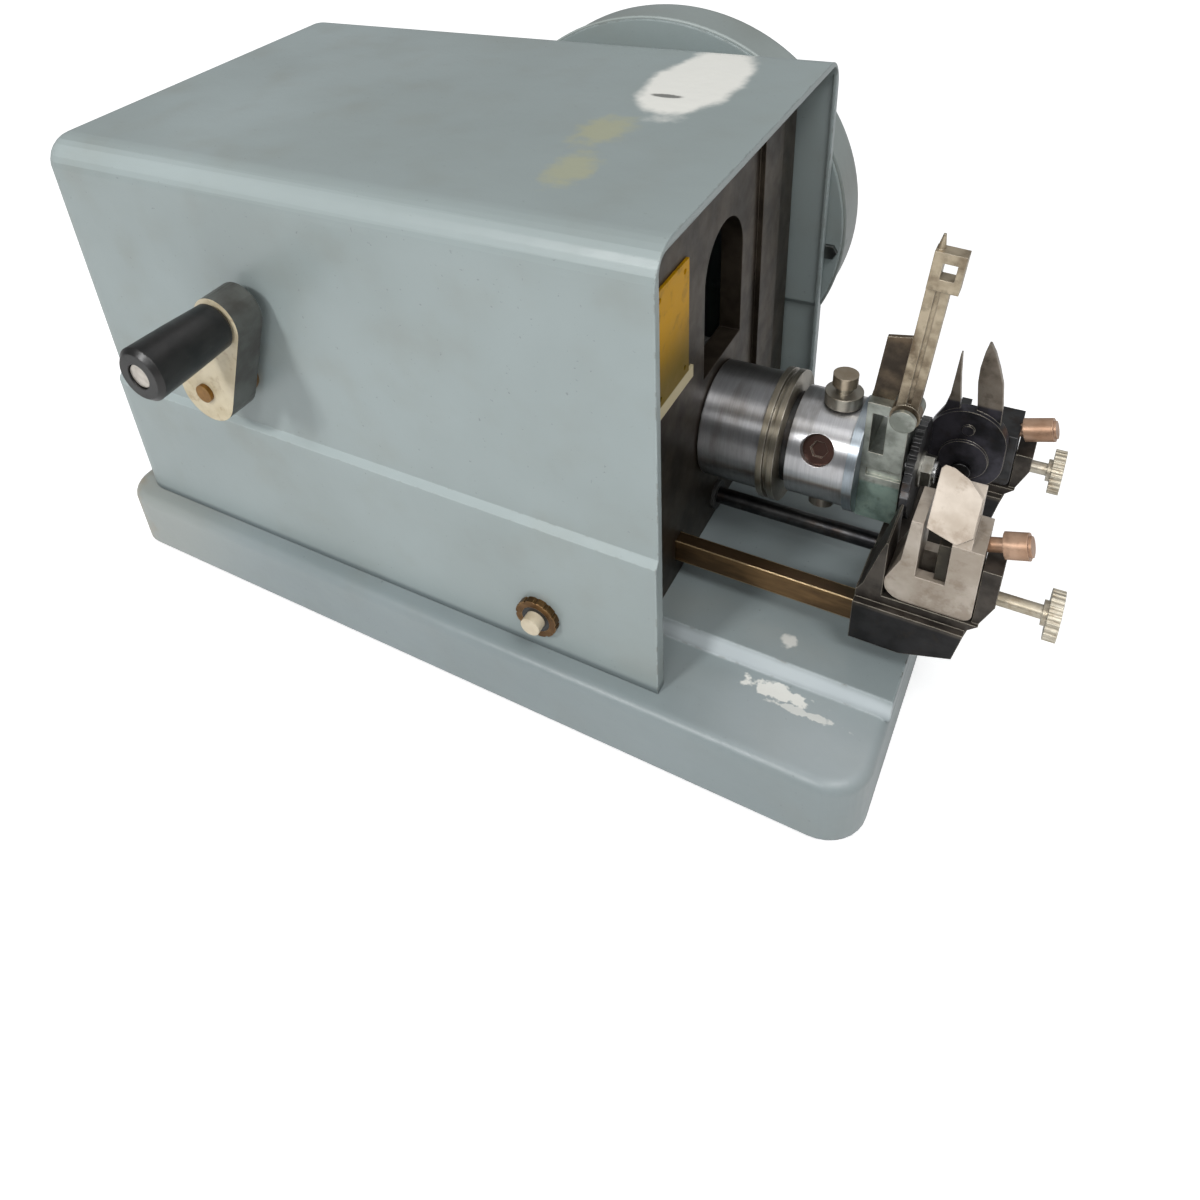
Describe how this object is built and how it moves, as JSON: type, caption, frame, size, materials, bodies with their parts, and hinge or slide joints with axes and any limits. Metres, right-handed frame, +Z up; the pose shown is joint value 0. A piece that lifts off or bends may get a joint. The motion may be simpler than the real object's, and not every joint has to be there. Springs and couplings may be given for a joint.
{
  "type": "key duplicating machine",
  "caption": "Bench key duplicator: sheet cover with round belt guard, crank-fed carriage with two key vises, quill with toothed cutter, on a cast base.",
  "frame": {"origin": "middle of the machine's box on the surface that it stands on", "axes": "+X towards the working end with the vises, +Y towards the belt guard, +Z up"},
  "size_m": [0.554, 0.374, 0.3085],
  "materials": {
    "grey_paint": "semi-gloss blue-grey enamel, worn",
    "base_paint": "semi-gloss blue-grey enamel, worn",
    "motor_paint": "dark grey enamel",
    "amber_paint": "flat amber enamel",
    "cream_paint": "aged cream enamel",
    "brown_steel": "oil-stained steel",
    "dark_casting": "rough casting",
    "black_casting": "black japanned casting",
    "dark_steel": "dark oiled steel",
    "dull_steel": "turned steel, dull",
    "polished_steel": "ground steel",
    "chrome": "bright chrome",
    "nickel": "satin nickel, warm",
    "aluminium": "turned aluminium",
    "bronze": "aged bronze",
    "copper": "dull copper",
    "black_rubber": "matt rubber",
    "black_plastic": "gloss moulded plastic",
    "cream_plastic": "aged moulded plastic"
  },
  "bodies": {
    "frame": {"base": "base_paint", "rubber_feet": "black_rubber", "cover": "grey_paint", "cover_screws": "dull_steel", "guard_plate": "grey_paint", "belt_guard": "grey_paint", "guard_bolts": "dull_steel", "end_frame": "brown_steel", "end_frame_bolts": "dark_steel", "amber_plate": "amber_paint", "headstock": "dark_casting", "headstock_bolts": "dark_steel", "quill_sleeve": "polished_steel", "quill_collar": "dull_steel", "nose_ring": "dark_steel", "clamp_head": "chrome", "clamp_screws": "dull_steel", "face_plate": "dull_steel", "slot_block": "dull_steel", "chip_shield": "brown_steel", "spindle_bearings": "bronze", "shaft_stand": "dark_casting", "shaft_bearings": "bronze", "drive_belt": "black_rubber", "motor_body": "motor_paint", "motor_stand": "dark_casting", "motor_bolts": "dark_steel", "switch_body": "black_plastic", "switch_nut": "bronze", "cord_gland": "black_plastic", "crank_bush": "bronze", "guide_blocks": "dark_casting"},
    "motor_rotor": {"motor_shaft": "polished_steel", "motor_pulley": "aluminium"},
    "drive_shaft": {"cross_shaft": "polished_steel", "cross_gear": "dark_steel", "driven_pulley": "aluminium"},
    "cutter_spindle": {"spindle": "polished_steel", "spindle_gear": "dark_steel", "cutter_wheel": "dark_steel", "cutter_nut": "dull_steel"},
    "button": {"power_button": "cream_plastic"},
    "crank": {"crank_shaft": "polished_steel", "crank_arm": "cream_paint", "crank_screws": "bronze", "feed_pinion": "dark_steel"},
    "grip": {"crank_grip": "black_plastic"},
    "slide": {"carriage": "black_casting", "feed_bar": "bronze", "guide_rod": "dark_steel", "near_jaw": "nickel", "far_jaw": "dark_steel"},
    "near_clamp": {"near_pad": "dull_steel"},
    "near_screw": {"near_thumb_screw": "nickel"},
    "near_pin": {"near_plunger": "copper"},
    "far_clamp": {"far_pad": "dull_steel"},
    "far_screw": {"far_thumb_screw": "nickel"},
    "far_pin": {"far_plunger": "copper"},
    "gauge": {"key_gauge": "dark_steel"},
    "lever": {"setting_lever": "dull_steel"}
  },
  "joints": [
    {"name": "motor_spin", "type": "hinge", "parent": "frame", "child": "motor_rotor", "pos_m": [-0.035, 0, 0.212], "axis": [0, 1, 0], "continuous": true},
    {"name": "drive_shaft_spin", "type": "hinge", "parent": "frame", "child": "drive_shaft", "pos_m": [0.015, 0, 0.126], "axis": [0, 1, 0], "continuous": true},
    {"name": "spindle_spin", "type": "hinge", "parent": "frame", "child": "cutter_spindle", "pos_m": [0, 0.016, 0.126], "axis": [1, 0, 0], "continuous": true},
    {"name": "button_press", "type": "slide", "parent": "frame", "child": "button", "axis": [0, 1, 0], "range_m": [0, 0.003], "stiffness_N_per_m": 400, "springref_m": -0.001},
    {"name": "carriage_slide", "type": "slide", "parent": "frame", "child": "slide", "axis": [1, 0, 0], "range_m": [-0.02, 0.03]},
    {"name": "crank_turn", "type": "hinge", "parent": "frame", "child": "crank", "pos_m": [-0.14, 0, 0.174], "axis": [0, -1, 0], "range_deg": [-96, 144]},
    {"name": "grip_spin", "type": "hinge", "parent": "crank", "child": "grip", "pos_m": [-0.11589, 0, 0.22343], "axis": [0, -1, 0], "continuous": true},
    {"name": "near_pad_slide", "type": "slide", "parent": "slide", "child": "near_clamp", "axis": [-1, 0, 0], "range_m": [0, 0.006]},
    {"name": "near_screw_turn", "type": "hinge", "parent": "near_clamp", "child": "near_screw", "pos_m": [0.25, -0.036, 0.105], "axis": [-1, 0, 0], "range_deg": [0, 360]},
    {"name": "near_plunger_pull", "type": "slide", "parent": "slide", "child": "near_pin", "axis": [0.9511, 0, 0.309], "range_m": [0, 0.005], "stiffness_N_per_m": 300, "springref_m": -0.001},
    {"name": "far_pad_slide", "type": "slide", "parent": "slide", "child": "far_clamp", "axis": [-1, 0, 0], "range_m": [0, 0.006]},
    {"name": "far_screw_turn", "type": "hinge", "parent": "far_clamp", "child": "far_screw", "pos_m": [0.25, 0.068, 0.105], "axis": [-1, 0, 0], "range_deg": [0, 360]},
    {"name": "far_plunger_pull", "type": "slide", "parent": "slide", "child": "far_pin", "axis": [0.9511, 0, 0.309], "range_m": [0, 0.005], "stiffness_N_per_m": 300, "springref_m": -0.001},
    {"name": "gauge_swing", "type": "hinge", "parent": "slide", "child": "gauge", "pos_m": [0.2195, 0.05, 0.11], "axis": [0, 1, 0], "range_deg": [0, 60]},
    {"name": "lever_swing", "type": "hinge", "parent": "frame", "child": "lever", "pos_m": [0.1955, -0.004, 0.172], "axis": [0, 1, 0], "range_deg": [0, 80]}
  ],
  "couplings": [
    {"joint": "motor_spin", "follows": "drive_shaft_spin", "ratio": 0.65591},
    {"joint": "spindle_spin", "follows": "drive_shaft_spin", "ratio": -1},
    {"joint": "crank_turn", "follows": "carriage_slide", "rad_per_m": 83.333},
    {"joint": "near_screw_turn", "follows": "near_pad_slide", "rad_per_m": 1047.2},
    {"joint": "far_screw_turn", "follows": "far_pad_slide", "rad_per_m": 1047.2}
  ]
}
